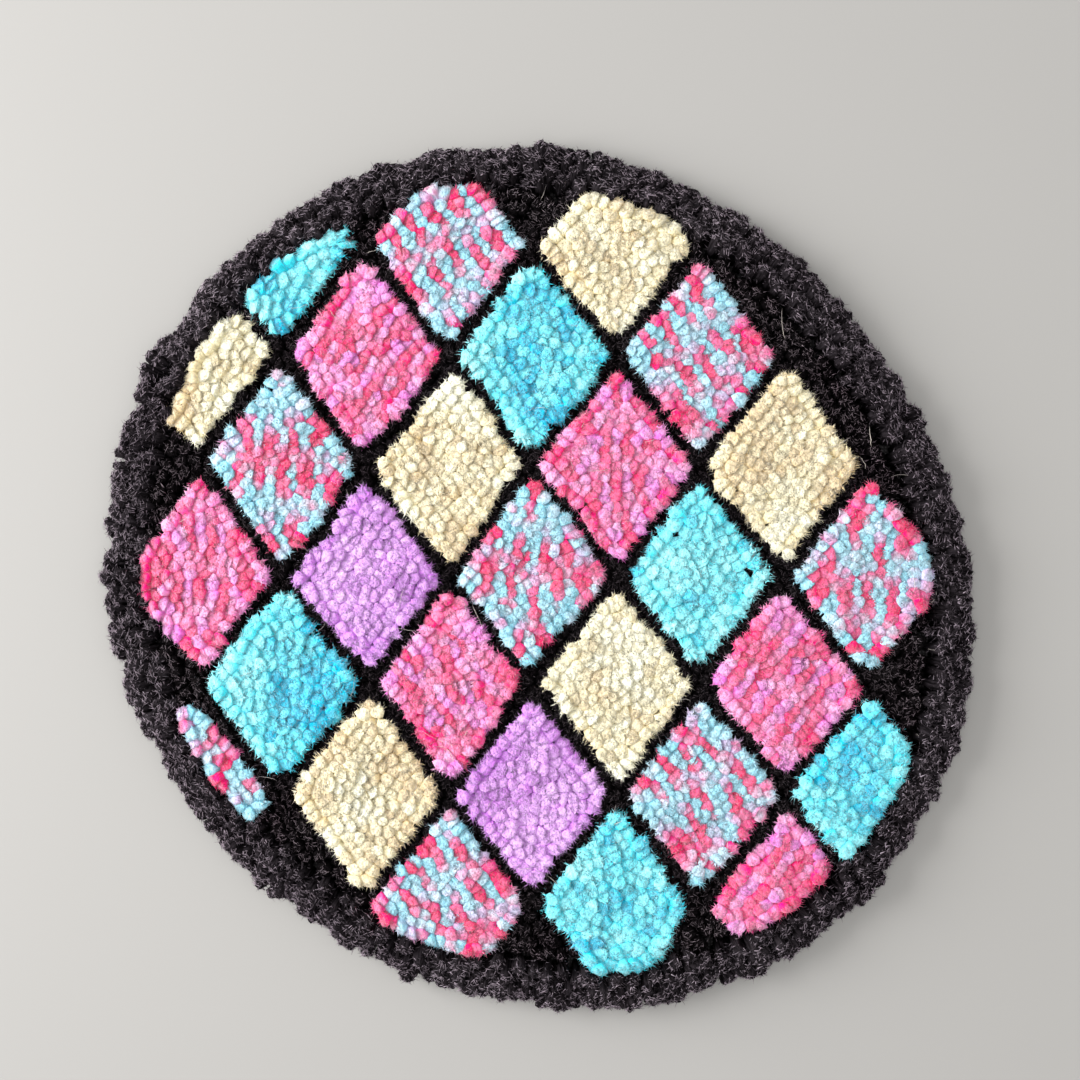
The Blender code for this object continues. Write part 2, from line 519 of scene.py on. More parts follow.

# one cut tuft, modelled in a few variants: a frayed bundle that widens towards its cut end
tuftKinds = {
    "pile": {
        "variants": 8,
        "sides": 8,
        # share of the length, half width in millimetres
        "sections": [(0.00, 2.60), (0.85, 3.90), (0.962, 2.80), (0.989, 1.45)],
        "crown": 0.00013,
        "squash": 0.12,
        "fray": 0.00034,
        "fibres": 24,
        "across": 22,  # how many of them lie across the cut end
        "around": 3.2,  # how far round the tuft its side fibres stand, from the outer side on
        "flank": 0.0014,  # how far below the cut end the fibres come out of the sides
        "fibreLength": (0.0011, 0.0022),
        "fibreHalfWidth": 0.00019,
        "spread": 0.95,  # how far the side fibres stand off the tuft, in radians at most
        "lightest": 1.0,  # the higher, the fewer light fibres there are
        "darkest": -0.45,
    },
    "edge": {
        "variants": 10,
        "sides": 8,
        "sections": [(0.00, 2.50), (0.82, 3.40), (0.94, 2.75), (0.983, 1.40)],
        "crown": 0.00020,
        "squash": 0.14,
        "fray": 0.00044,
        "fibres": 38,
        "across": 14,
        "around": 1.3,
        "flank": 0.0030,
        "fibreLength": (0.0013, 0.0030),
        "fibreHalfWidth": 0.00018,
        "spread": 0.80,
        "lightest": 1.0,
        "darkest": -0.45,
    },
    "ground": {
        "variants": 8,
        "sides": 7,
        "sections": [(0.00, 1.50), (0.60, 2.30), (0.88, 3.20), (0.965, 1.80)],
        "crown": 0.00040,
        "squash": 0.12,
        "fray": 0.00040,
        "fibres": 22,
        "across": 18,
        "around": 3.2,
        "flank": 0.0016,
        "fibreLength": (0.0012, 0.0028),
        "fibreHalfWidth": 0.00016,
        "spread": 1.25,
        "lightest": 2.6,
        "darkest": 0.0,
    },
    "rim": {
        "variants": 12,
        "sides": 5,
        "sections": [(0.00, 1.00), (0.40, 1.70), (0.72, 2.15), (0.88, 1.95), (0.97, 0.90)],
        "crown": 0.00040,
        "squash": 0.16,
        "fray": 0.00048,
        "fibres": 36,
        "across": 14,
        "around": 3.2,
        "flank": 0.0068,
        "fibreLength": (0.0014, 0.0034),
        "fibreHalfWidth": 0.00017,
        "spread": 1.15,
        "lightest": 1.5,
        "darkest": 0.0,
    },
}
modelLength = 0.012  # length at which the tufts are modelled; each copy is then cut to its own
headLength = 0.0040  # the cut end keeps its shape over this length
leastBend = 1e-3  # a straight tuft is given this bend, so that its arc has a radius

# how the fibres of a tuft lie: some across its cut end, the rest out of its sides
fibreLay = {
    "acrossRadius": 0.0020,  # from the middle of the cut end
    "acrossLift": 0.00010,
    "acrossLean": (52, 82),  # degrees from upright
    "acrossOut": 0.10,  # where a fibre's middle is, as a share of its length from its foot
    "flankTop": 0.0003,  # below the cut end, the highest foot in a side
    "flankPower": 1.4,  # above 1, more of the feet are near the cut end
    "flankSunk": 0.90,
    "flankSide": 1.0,
    "flankLean": 88,
    "flankRise": 0.75,
    "flankOut": 0.32,
    "thickness": (0.75, 1.25),
}


def modelTuft(kind, number):
    shape = tuftKinds[kind]
    dice = random.Random(100 * number + len(kind))
    deselectAll()
    share, halfWidth = shape["sections"][0]
    bpy.ops.mesh.primitive_circle_add(
        vertices=shape["sides"], radius=halfWidth / 1000, fill_type="NGON", enter_editmode=True
    )
    tuft = bpy.context.object
    tuft.name = f"tuft_{kind}_{number}"
    for nextShare, nextWidth in shape["sections"][1:]:
        rise = (nextShare - share) * modelLength
        bpy.ops.mesh.extrude_region_move(TRANSFORM_OT_translate={"value": (0, 0, rise)})
        factor = nextWidth / halfWidth
        bpy.ops.transform.resize(value=(factor, factor, 1), center_override=(0, 0, nextShare * modelLength))
        share, halfWidth = nextShare, nextWidth
    bpy.ops.mesh.poke(offset=shape["crown"])
    bpy.ops.mesh.select_all(action="SELECT")
    bpy.ops.mesh.normals_make_consistent(inside=False)
    squash = 1 + dice.uniform(-1, 1) * shape["squash"]
    bpy.ops.transform.resize(value=(squash, 1 / squash, 1), center_override=(0, 0, 0))
    bpy.ops.transform.vertex_random(offset=shape["fray"], uniform=1.0, normal=0.0, seed=number + 1)
    bpy.ops.mesh.quads_convert_to_tris()
    addFibres(shape, dice)
    bpy.ops.object.mode_set(mode="OBJECT")
    return tuft


def halfWidthAt(shape, share):
    shares, widths = zip(*shape["sections"])
    return float(np.interp(share, shares, widths)) / 1000


def crownAt(shape, radius):
    # height of the rounded cut end at that distance from its middle
    heights, widths = [], []
    for share, width in reversed(shape["sections"][-3:]):
        heights.append(share * modelLength)
        widths.append(width / 1000)
    return float(np.interp(radius, [0, *widths], [heights[0] + shape["crown"], *heights]))


def addFibres(shape, dice):
    # thin three-sided spikes: most lie loosely across the cut end, the rest stand out of the sides
    for number in range(shape["fibres"]):
        length = dice.uniform(*shape["fibreLength"])
        if number < shape["across"]:
            turn = dice.uniform(0, math.tau)
            radius = fibreLay["acrossRadius"] * math.sqrt(dice.random())
            height = crownAt(shape, radius) + fibreLay["acrossLift"]
            side = dice.uniform(0, math.tau)
            lean = math.radians(dice.uniform(*fibreLay["acrossLean"]))
            out = fibreLay["acrossOut"]
        else:
            turn = dice.uniform(-1, 1) * shape["around"]
            drop = shape["flank"] * dice.random() ** fibreLay["flankPower"] + fibreLay["flankTop"]
            radius = halfWidthAt(shape, 1 - drop / modelLength) * fibreLay["flankSunk"]
            height = modelLength - drop
            side = turn + dice.uniform(-fibreLay["flankSide"], fibreLay["flankSide"])
            rise = shape["spread"] * dice.uniform(0.0, fibreLay["flankRise"])
            lean = math.radians(fibreLay["flankLean"]) - rise
            out = fibreLay["flankOut"]
        direction = Vector(
            (math.sin(lean) * math.cos(side), math.sin(lean) * math.sin(side), math.cos(lean))
        )
        foot = Vector((radius * math.cos(turn), radius * math.sin(turn), height))
        bpy.ops.mesh.primitive_cone_add(
            vertices=3,
            radius1=shape["fibreHalfWidth"] * dice.uniform(*fibreLay["thickness"]),
            depth=length,
            end_fill_type="NGON",
            location=foot + direction * length * out,
            rotation=direction.to_track_quat("Z", "Y").to_euler(),
        )


# each tuft has its own cell of the piece's map: its body on a disc, its fibres in columns beside it
mapCell = {
    "discMiddle": (0.36, 0.5),
    "discRadius": 0.34,
    "discPower": 0.4,
    "fibresFrom": 0.74,
    "fibresWidth": 0.24,
    "columns": 4,
    "fibreCorners": [(0.1, 0.1), (0.5, 0.15), (0.9, 0.1), (0.5, 0.9)],
    "margin": 0.04,
}


def tuftArrays(tuft, kind):
    # the modelled tuft as arrays
    mesh = tuft.data
    points = np.array([v.co for v in mesh.vertices])
    triangles = []
    for face in mesh.polygons:
        a, b, c = face.vertices
        triangles.append(min((a, b, c), (b, c, a), (c, a, b)))
    triangles = np.array(sorted(triangles))  # the operators leave them in no fixed order
    fibres = tuftKinds[kind]["fibres"]
    bodyCount = len(points) - 4 * fibres
    uv = np.zeros((len(triangles), 3, 2))
    turn = np.arctan2(points[:, 1], points[:, 0])
    fromEnd = np.clip(1.02 - points[:, 2] / modelLength, 0.02, 1)
    ringRadius = mapCell["discRadius"] * fromEnd ** mapCell["discPower"]
    middleU, middleV = mapCell["discMiddle"]
    onDisc = np.stack([middleU + ringRadius * np.cos(turn), middleV + ringRadius * np.sin(turn)], 1)
    isBody = triangles.max(1) < bodyCount
    uv[isBody] = onDisc[triangles[isBody]]
    columns = mapCell["columns"]
    rows = math.ceil(fibres / columns)
    for face in np.nonzero(~isBody)[0]:
        for corner, vertex in enumerate(triangles[face]):
            fibre, part = divmod(vertex - bodyCount, 4)
            column, row = fibre % columns, fibre // columns
            across, up = mapCell["fibreCorners"][part]
            u = mapCell["fibresFrom"] + mapCell["fibresWidth"] * (column + across) / columns
            uv[face, corner] = (u, (row + up) / rows)
    # each fibre's lightness, lighter and darker than the body: partly its own tone, partly a painted glint
    fibreToneAndGlint = np.zeros(len(points))
    darkest = tuftKinds[kind]["darkest"]
    lightness = np.random.default_rng(len(points)).random(fibres) ** tuftKinds[kind]["lightest"]
    fibreToneAndGlint[bodyCount:] = np.repeat(darkest + (1 - darkest) * lightness, 4)
    return {"points": points, "triangles": triangles, "uv": uv, "fibreToneAndGlint": fibreToneAndGlint, "body": bodyCount}


def modelTufts():
    made = {}
    for kind, shape in tuftKinds.items():
        made[kind] = []
        for number in range(shape["variants"]):
            tuft = modelTuft(kind, number)
            made[kind].append(tuftArrays(tuft, kind))
            mesh = tuft.data
            bpy.data.objects.remove(tuft)
            bpy.data.meshes.remove(mesh)
        print("modelled", kind, "tufts,", len(made[kind][0]["triangles"]), "triangles each")
    return made


tuftShapes = modelTufts()


def bendTufts(points, tufts):
    # each copy leans over on an arc from its root, and goes straight on past its cut end
    def column(key):
        return np.array([tuft[key] for tuft in tufts])[:, None]

    spin, turn, length, width = column("spin"), column("turn"), column("length"), column("width")
    start, bend = column("root"), column("tip") - column("root")
    bend = np.where(np.abs(bend) < leastBend, leastBend, bend)
    x = (points[:, 0] * np.cos(spin) - points[:, 1] * np.sin(spin)) * width
    y = (points[:, 0] * np.sin(spin) + points[:, 1] * np.cos(spin)) * width
    # only the stretch below the head is cut to length, so the head keeps its shape
    height = points[:, 2][None, :] + np.zeros_like(x)
    neck = modelLength - headLength
    shank = (length - headLength) / neck
    height = np.where(height < neck, height * shank, height - modelLength + length)
    share = np.clip(height / length, 0, 1)
    slope = start + bend * share
    past = np.clip(height - length, 0, None)
    outward = length / bend * (np.cos(start) - np.cos(slope)) + past * np.sin(slope)
    upward = length / bend * (np.sin(slope) - np.sin(start)) + past * np.cos(slope)
    lengthways = x * np.cos(turn) + y * np.sin(turn)
    sideways = -x * np.sin(turn) + y * np.cos(turn)
    outward = outward + lengthways * np.cos(slope)
    upward = upward - lengthways * np.sin(slope)
    px = column("x") + outward * np.cos(turn) - sideways * np.sin(turn)
    py = column("y") + outward * np.sin(turn) + sideways * np.cos(turn)
    return np.stack([px, py, pile["rootHeight"] + upward], 2), share, (1 - share) * length


# how the heads press on each other
crowd = {
    "neighbours": 8,  # how many of the nearest heads a head feels
    "headMiddle": 0.0012,  # below the cut end
    "overlap": 0.00022,  # how far the fibres of two heads mingle where they press on each other
    "gripFull": 0.0036,  # down to here below its cut end a tuft is pressed on all it can be
    "gripEnd": 0.0062,  # from here down it is free
    "spill": 0.00030,  # how far coloured heads bulge over black ones
}


def meetNeighbours(tufts):
    # the planes half way to the nearest other heads, which no head crosses
    ends = np.array([[tuft[key] for key in ("x", "y", "turn", "root", "tip", "length")] for tuft in tufts])
    x, y, turn, start, end, length = ends.T
    bend = np.where(np.abs(end - start) < leastBend, leastBend, end - start)
    out = length / bend * (np.cos(start) - np.cos(end))
    up = length / bend * (np.sin(end) - np.sin(start))
    middle = up - crowd["headMiddle"] * np.cos(end)
    tips = np.stack([x + out * np.cos(turn), y + out * np.sin(turn), pile["rootHeight"] + middle], 1)
    tree = KDTree(len(tufts))
    for index, tip in enumerate(tips):
        tree.insert(tip, index)
    tree.balance()
    for index, tuft in enumerate(tufts):
        here = Vector(tips[index])
        tuft["away"], tuft["wall"] = [], []
        for place, other, gap in tree.find_n(here, crowd["neighbours"] + 2):
            if other == index or gap < samePlace:
                continue
            away = (place - here) / gap
            spill = (tufts[other]["yarn"] == "black") - (tuft["yarn"] == "black")
            wall = away.dot((place + here) / 2) + spill * crowd["spill"] + crowd["overlap"]
            tuft["away"].append(tuple(away))
            tuft["wall"].append(wall)
        tuft["away"] = tuft["away"][: crowd["neighbours"]]
        tuft["wall"] = tuft["wall"][: crowd["neighbours"]]


meetNeighbours(fieldTufts)


def squeeze(bent, below, group, bodyCount):
    # presses the heads against each other; a fibre moves with the spot it comes out of
    body = bent[:, :bodyCount]
    fibres = bent[:, bodyCount:].reshape(len(group), -1, 4, 3)
    near = np.concatenate([body, fibres[:, :, :3].mean(2)], 1)
    depth = np.concatenate([below[:, :bodyCount], below[:, bodyCount::4]], 1)
    fade = crowd["gripEnd"] - crowd["gripFull"]
    grip = np.clip((crowd["gripEnd"] - depth) / fade, 0, 1)[..., None]
    away = np.array([tuft["away"] for tuft in group])
    wall = np.array([tuft["wall"] for tuft in group])
    moved = near.copy()
    for number in range(away.shape[1]):
        over = np.einsum("tnc,tc->tn", moved, away[:, number]) - wall[:, number, None]
        moved -= np.clip(over, 0, None)[..., None] * away[:, None, number] * grip
    shift = moved - near
    fibres = (fibres + shift[:, bodyCount:, None]).reshape(len(group), -1, 3)
    return np.concatenate([moved[:, :bodyCount], fibres], 1)


strandStretch = 0.16  # the smaller this is, the longer the streaks of the fibres along a tuft


def layPile(name, tufts, dice):
    # one joined mesh of all the tufts of a piece
    cells = math.ceil(math.sqrt(len(tufts)))
    margin = mapCell["margin"]
    groups = {}
    for number, tuft in enumerate(tufts):
        model = (tuft["kind"], dice.randrange(tuftKinds[tuft["kind"]]["variants"]))
        groups.setdefault(model, []).append(tuft)
        tuft["spin"] = dice.uniform(0, math.tau)
        if tuft["kind"] == "edge":
            tuft["spin"] = tuft["out"] + dice.uniform(-pile["spinStray"], pile["spinStray"])
        tuft["tone"] = dice.gauss(0, 1)
        tuft["cell"] = (number % cells, number // cells)
        tuft["seed"] = [dice.uniform(-1, 1) for _ in range(3)]
    points, triangles, maps, strands = [], [], [], []
    marks = {"tip": [], "fibreToneAndGlint": [], "tone": [], "dye": []}
    offset = 0
    for (kind, index), group in sorted(groups.items(), key=lambda entry: entry[0]):
        shape = tuftShapes[kind][index]
        bent, share, below = bendTufts(shape["points"], group)
        if kind != "rim":
            bent = squeeze(bent, below, group, shape["body"])
        bent[..., 2] = np.maximum(bent[..., 2], pile["lowest"])
        count, each = bent.shape[:2]
        points.append(bent.reshape(-1, 3))
        starts = offset + np.arange(count) * each
        triangles.append((shape["triangles"][None] + starts[:, None, None]).reshape(-1, 3))
        corner = np.array([tuft["cell"] for tuft in group])[:, None, None, :]
        maps.append(((corner + margin + (1 - 2 * margin) * shape["uv"][None]) / cells).reshape(-1, 2))
        marks["tip"].append(share.reshape(-1))
        # painted glint: the rim's fibres, and the ground's beside the rim, are painted lighter
        glints = [tuft.get("glint", 1) for tuft in group]
        marks["fibreToneAndGlint"].append(np.outer(glints, shape["fibreToneAndGlint"]).reshape(-1))
        marks["tone"].append(np.repeat([tuft["tone"] for tuft in group], each))
        marks["dye"].append(np.repeat([tuft["dye"] for tuft in group], each))
        local = shape["points"] * np.array([1, 1, strandStretch])
        seeds = np.array([tuft["seed"] for tuft in group])[:, None, :]
        strands.append((local[None] + seeds).reshape(-1, 3))
        offset += count * each
    mesh = bpy.data.meshes.new(name)
    mesh.from_pydata(np.concatenate(points), [], np.concatenate(triangles))
    for title, values in marks.items():
        mesh.attributes.new(title, "FLOAT", "POINT").data.foreach_set("value", np.concatenate(values))
    strandData = mesh.attributes.new("strand", "FLOAT_VECTOR", "POINT").data
    strandData.foreach_set("vector", np.concatenate(strands).ravel())
    mesh.uv_layers.new(name="OFBake").data.foreach_set("uv", np.concatenate(maps).ravel())
    mesh.shade_smooth()
    piece = bpy.data.objects.new(name, mesh)
    bpy.context.scene.collection.objects.link(piece)
    print("laid", name, len(tufts), "tufts,", len(mesh.polygons), "triangles")
    return piece


# finishes
def srgb(r, g, b):
    # colours are given as on a screen, from 0 to 255
    def linear(value):
        value /= 255
        return value / 12.92 if value <= 0.04045 else ((value + 0.055) / 1.055) ** 2.4

    return (linear(r), linear(g), linear(b), 1)


def addNode(tree, kind, **inputs):
    node = tree.nodes.new(kind)
    for key, value in inputs.items():
        node.inputs[key.replace("_", " ")].default_value = value
    return node


def attributeNode(tree, name):
    node = tree.nodes.new("ShaderNodeAttribute")
    node.attribute_name = name
    return node


def rampNode(tree, stops):
    node = tree.nodes.new("ShaderNodeValToRGB")
    ramp = node.color_ramp
    while len(ramp.elements) < len(stops):
        ramp.elements.new(0.5)
    for element, (place, colour) in zip(ramp.elements, stops):
        element.position = place
        element.color = colour
    return node


def mathNode(tree, operation, a, b=None):
    node = tree.nodes.new("ShaderNodeMath")
    node.operation = operation
    for socket, value in zip(node.inputs, (a, b)):
        if isinstance(value, (int, float)):
            socket.default_value = value
        elif value is not None:
            tree.links.new(value, socket)
    return node.outputs[0]


def mapRange(tree, value, low, high, toLow, toHigh):
    node = tree.nodes.new("ShaderNodeMapRange")
    node.interpolation_type = "SMOOTHSTEP"
    for key, number in (("From Min", low), ("From Max", high), ("To Min", toLow), ("To Max", toHigh)):
        node.inputs[key].default_value = number
    tree.links.new(value, node.inputs["Value"])
    return node.outputs["Result"]


def yarnMaterial(name, look):
    material = bpy.data.materials.new(name)
    material.use_nodes = True
    tree = material.node_tree
    shader = tree.nodes["Principled BSDF"]
    coords = tree.nodes.new("ShaderNodeTexCoord").outputs["Object"]
    strand = attributeNode(tree, "strand").outputs["Vector"]
    tone = attributeNode(tree, "tone").outputs["Fac"]
    tip = attributeNode(tree, "tip").outputs["Fac"]

    # the dye: cycles along a variegated yarn, or drifts between two shades of a plain one
    blotch = addNode(tree, "ShaderNodeTexNoise", Scale=look["blotchScale"], Detail=2.0)
    tree.links.new(coords, blotch.inputs["Vector"])
    if look["kind"] == "variegated":
        dye = attributeNode(tree, "dye").outputs["Fac"]
        drift = mathNode(tree, "MULTIPLY", blotch.outputs["Fac"], look["dyeDrift"])
        shifted = mathNode(tree, "ADD", dye, drift)
        place = mathNode(tree, "FRACT", shifted)
    else:
        swing = mathNode(tree, "MULTIPLY", tone, look["dyeSwing"])
        place = mathNode(tree, "ADD", blotch.outputs["Fac"], swing)
    ramp = rampNode(tree, look["stops"])
    tree.links.new(place, ramp.inputs["Fac"])

    # single fibres show as light and dark specks; below the head the colour is painted lighter and richer
    # for the coloured yarns and darker for the black, as painted light and shade in the creases between the
    # heads
    fibres = addNode(tree, "ShaderNodeTexNoise", Scale=look["fibreScale"], Detail=2.0, Roughness=0.65)
    tree.links.new(strand, fibres.inputs["Vector"])
    low, high = look["speckRange"]
    speck = mapRange(tree, fibres.outputs["Fac"], low, high, look["speckLow"], look["speckHigh"])
    # painted light and shade in the creases: below the head the coloured yarns are painted lighter and more
    # saturated, the black yarn darker
    depth = mapRange(tree, tip, look["creaseFrom"], 1.0, look["paintedCreaseShading"], 1.0)
    light = mathNode(tree, "MULTIPLY", speck, depth)
    # painted glint: single fibres are painted lighter, partly their own tone and partly the light they
    # would catch
    fibreToneAndGlint = mathNode(tree, "MULTIPLY", attributeNode(tree, "fibreToneAndGlint").outputs["Fac"], look["fibreToneAndGlintGain"])
    shade = mathNode(tree, "MULTIPLY", tone, look["toneSwing"])
    value = mathNode(tree, "ADD", mathNode(tree, "ADD", light, fibreToneAndGlint), shade)
    bright = tree.nodes.new("ShaderNodeHueSaturation")
    paintedShadeSaturation = mapRange(tree, tip, look["creaseFrom"], 1.0, look["paintedCreaseSaturation"], 1.0)
    tree.links.new(ramp.outputs["Color"], bright.inputs["Color"])
    tree.links.new(paintedShadeSaturation, bright.inputs["Saturation"])
    tree.links.new(value, bright.inputs["Value"])
    tree.links.new(bright.outputs["Color"], shader.inputs["Base Color"])

    bump = addNode(tree, "ShaderNodeBump", Strength=look["bump"], Distance=look["bumpDepth"])
    tree.links.new(fibres.outputs["Fac"], bump.inputs["Height"])
    tree.links.new(bump.outputs["Normal"], shader.inputs["Normal"])
    shader.inputs["Roughness"].default_value = look["roughness"]
    shader.inputs["Specular IOR Level"].default_value = look["specular"]
    shader.inputs["Sheen Weight"].default_value = look["sheen"]
    shader.inputs["Sheen Roughness"].default_value = look["sheenRoughness"]
    return material


plainYarn = {
    "kind": "plain",
    "blotchScale": 38.0,
    "dyeSwing": 0.07,  # how much one tuft's shade of a plain yarn differs from the next one's
    "dyeDrift": 0.35,  # how far the dye of a variegated yarn is out of place
    "fibreScale": 1150.0,
    "speckRange": (0.33, 0.67),
    "speckLow": 0.81,
    "speckHigh": 1.13,
    "creaseFrom": 0.93,  # share of the tuft's length where its head begins
    "paintedCreaseShading": 1.15,  # painted light below the head: above 1 it lightens the colour there to make up for the deep shade; below 1, as for the black yarn, it paints shade
    # painted light: below the head the colour is painted more saturated, for the light bounced between the
    # heads
    "paintedCreaseSaturation": 1.25,
    "fibreToneAndGlintGain": 0.22,  # how much lighter the lightest single fibres are; partly their own tone, partly a painted glint
    "toneSwing": 0.035,
    "bump": 0.95,
    "bumpDepth": 0.0013,
    "roughness": 0.85,
    "specular": 0.1,
    "sheen": 0.60,
    "sheenRoughness": 0.45,
}
looks = {
    "cream": {
        **plainYarn,
        "stops": [(0.35, srgb(232, 212, 175)), (0.55, srgb(244, 234, 201)), (0.75, srgb(251, 248, 227))],
    },
    "lavender": {
        **plainYarn,
        "stops": [(0.3, srgb(198, 138, 214)), (0.5, srgb(216, 157, 230)), (0.7, srgb(232, 182, 244))],
    },
    "sky": {
        **plainYarn,
        "stops": [(0.3, srgb(82, 198, 228)), (0.5, srgb(126, 230, 242)), (0.7, srgb(166, 246, 252))],
    },
    "pink": {
        **plainYarn,
        "kind": "variegated",
        "blotchScale": 160.0,
        "stops": [
            (0.00, srgb(244, 97, 139)),
            (0.18, srgb(246, 129, 173)),
            (0.36, srgb(250, 169, 215)),
            (0.52, srgb(236, 143, 217)),
            (0.66, srgb(253, 183, 227)),
            (0.82, srgb(246, 115, 159)),
            (1.00, srgb(244, 97, 139)),
        ],
    },
    "mix": {
        **plainYarn,
        "kind": "variegated",
        "blotchScale": 160.0,
        "stops": [
            (0.00, srgb(243, 84, 124)),
            (0.16, srgb(245, 124, 170)),
            (0.26, srgb(214, 190, 222)),
            (0.38, srgb(186, 226, 240)),
            (0.60, srgb(160, 220, 236)),
            (0.72, srgb(206, 228, 242)),
            (0.84, srgb(245, 142, 182)),
            (1.00, srgb(243, 84, 124)),
        ],
    },
    "black": {
        **plainYarn,
        "stops": [(0.3, srgb(8, 6, 7)), (0.7, srgb(12, 10, 11))],
        "bump": 1.0,
        "sheen": 0.0,
        "specular": 0.01,
        # painted shade: below 0.74 of their length the black tufts are painted darker, down to 0.4 of their
        # colour
        "creaseFrom": 0.74,
        "speckLow": 0.3,
        "speckHigh": 2.2,
        "paintedCreaseShading": 0.4,
        "paintedCreaseSaturation": 1.0,
        "fibreToneAndGlintGain": 50.0,
        "toneSwing": 0.12,
    },
}
looks["rim"] = {  # painted light: the same yarn, painted lighter than the ground and with less painted shade below the heads, since seen from the side it shows more of its light fibres in the light
    **looks["black"],
    "stops": [(0.3, srgb(33, 29, 32)), (0.7, srgb(41, 37, 40))],
    "speckHigh": 1.6,
    "paintedCreaseShading": 0.8,
    "fibreToneAndGlintGain": 28.0,
}

slots = {
    "cream": "cream_pile",
    "lavender": "lavender_pile",
    "sky": "sky_pile",
    "pink": "pink_pile",
    "mix": "pink_blue_pile",
    "black": "charcoal_pile",
}
# the rim's material is the black yarn with painted light
materials = {name: yarnMaterial(slots.get(name, "charcoal_rim_painted_light"), look) for name, look in looks.items()}


# the cloth that the pile is set in
cloth = {
    "thickness": 0.0013,
    "inset": 0.0005,  # inside the solid's underside
    "edgeRound": 0.0004,
    "points": 180,
    "rings": (0.012, 0.020, 0.030),
    "threadScale": 260.0,
    "threadWaver": 1.2,
    "threadDark": srgb(34, 32, 34),
    "threadLight": srgb(84, 80, 82),
    "threadDepth": 0.0004,
}


def weaveMaterial():
    material = bpy.data.materials.new("foundation_cloth")
    material.use_nodes = True
    tree = material.node_tree
    shader = tree.nodes["Principled BSDF"]
    coords = tree.nodes.new("ShaderNodeTexCoord").outputs["Object"]
    bands = []
    for direction in ("X", "Y"):
        wave = addNode(tree, "ShaderNodeTexWave", Scale=cloth["threadScale"], Detail=2.0, Detail_Scale=3.0)
        wave.inputs["Distortion"].default_value = cloth["threadWaver"]
        wave.bands_direction = direction
        tree.links.new(coords, wave.inputs["Vector"])
        bands.append(wave.outputs["Fac"])
    weave = mathNode(tree, "MULTIPLY", bands[0], bands[1])
    ramp = rampNode(tree, [(0.0, cloth["threadDark"]), (1.0, cloth["threadLight"])])
    tree.links.new(weave, ramp.inputs["Fac"])
    tree.links.new(ramp.outputs["Color"], shader.inputs["Base Color"])
    bump = addNode(tree, "ShaderNodeBump", Strength=0.6, Distance=cloth["threadDepth"])
    tree.links.new(weave, bump.inputs["Height"])
    tree.links.new(bump.outputs["Normal"], shader.inputs["Normal"])
    shader.inputs["Roughness"].default_value = 0.9
    return material


def makeCloth():
    deselectAll()
    bpy.ops.mesh.primitive_circle_add(vertices=cloth["points"], radius=1, fill_type="NGON")
    piece = bpy.context.object
    piece.name = "foundationCloth"
    for point in piece.data.vertices:
        turn = math.atan2(point.co.y, point.co.x)
        radius = footRadius(turn) - cloth["inset"]
        point.co = (radius * math.cos(turn), radius * math.sin(turn), 0)
    bpy.ops.object.mode_set(mode="EDIT")
    bpy.ops.mesh.select_all(action="SELECT")
    for thickness in cloth["rings"]:
        bpy.ops.mesh.inset(thickness=thickness)
    bpy.ops.mesh.poke()
    bpy.ops.object.mode_set(mode="OBJECT")
    thicken = piece.modifiers.new("thickness", "SOLIDIFY")
    thicken.thickness = cloth["thickness"]
    thicken.offset = 1
    bpy.ops.object.modifier_apply(modifier=thicken.name)
    bevel = piece.modifiers.new("edge", "BEVEL")
    bevel.width = cloth["edgeRound"]
    bevel.segments = 2
    bevel.limit_method = "ANGLE"
    bpy.ops.object.modifier_apply(modifier=bevel.name)
    lowest = min(point.co.z for point in piece.data.vertices)
    for point in piece.data.vertices:
        point.co.z -= lowest
    piece.data.materials.append(weaveMaterial())
    bpy.ops.object.shade_smooth_by_angle(angle=math.radians(40))
    return piece


foundation = makeCloth()

# pale hairs that have come off the yarn and lie on the pile
hairs = {
    "count": 110,
    "length": (0.004, 0.011),
    "halfWidth": 0.00007,
    "parts": 6,
    "past": 0.002,  # how far past the cloth's edge a hair may begin
    "nearest": 0.02,  # share of the rug's area round its middle with no hair
    "lift": 0.0004,
    "ripple": 1.9,
    "sunk": 0.6,  # share of a tuft's bend that lowers the hair on it
    "atEdge": 0.72,  # height of a hair at the rug's edge, as a share of the pile's
    "bend": 0.9,
    "looseBend": 0.12,
    "tipWidth": 0.5,
}


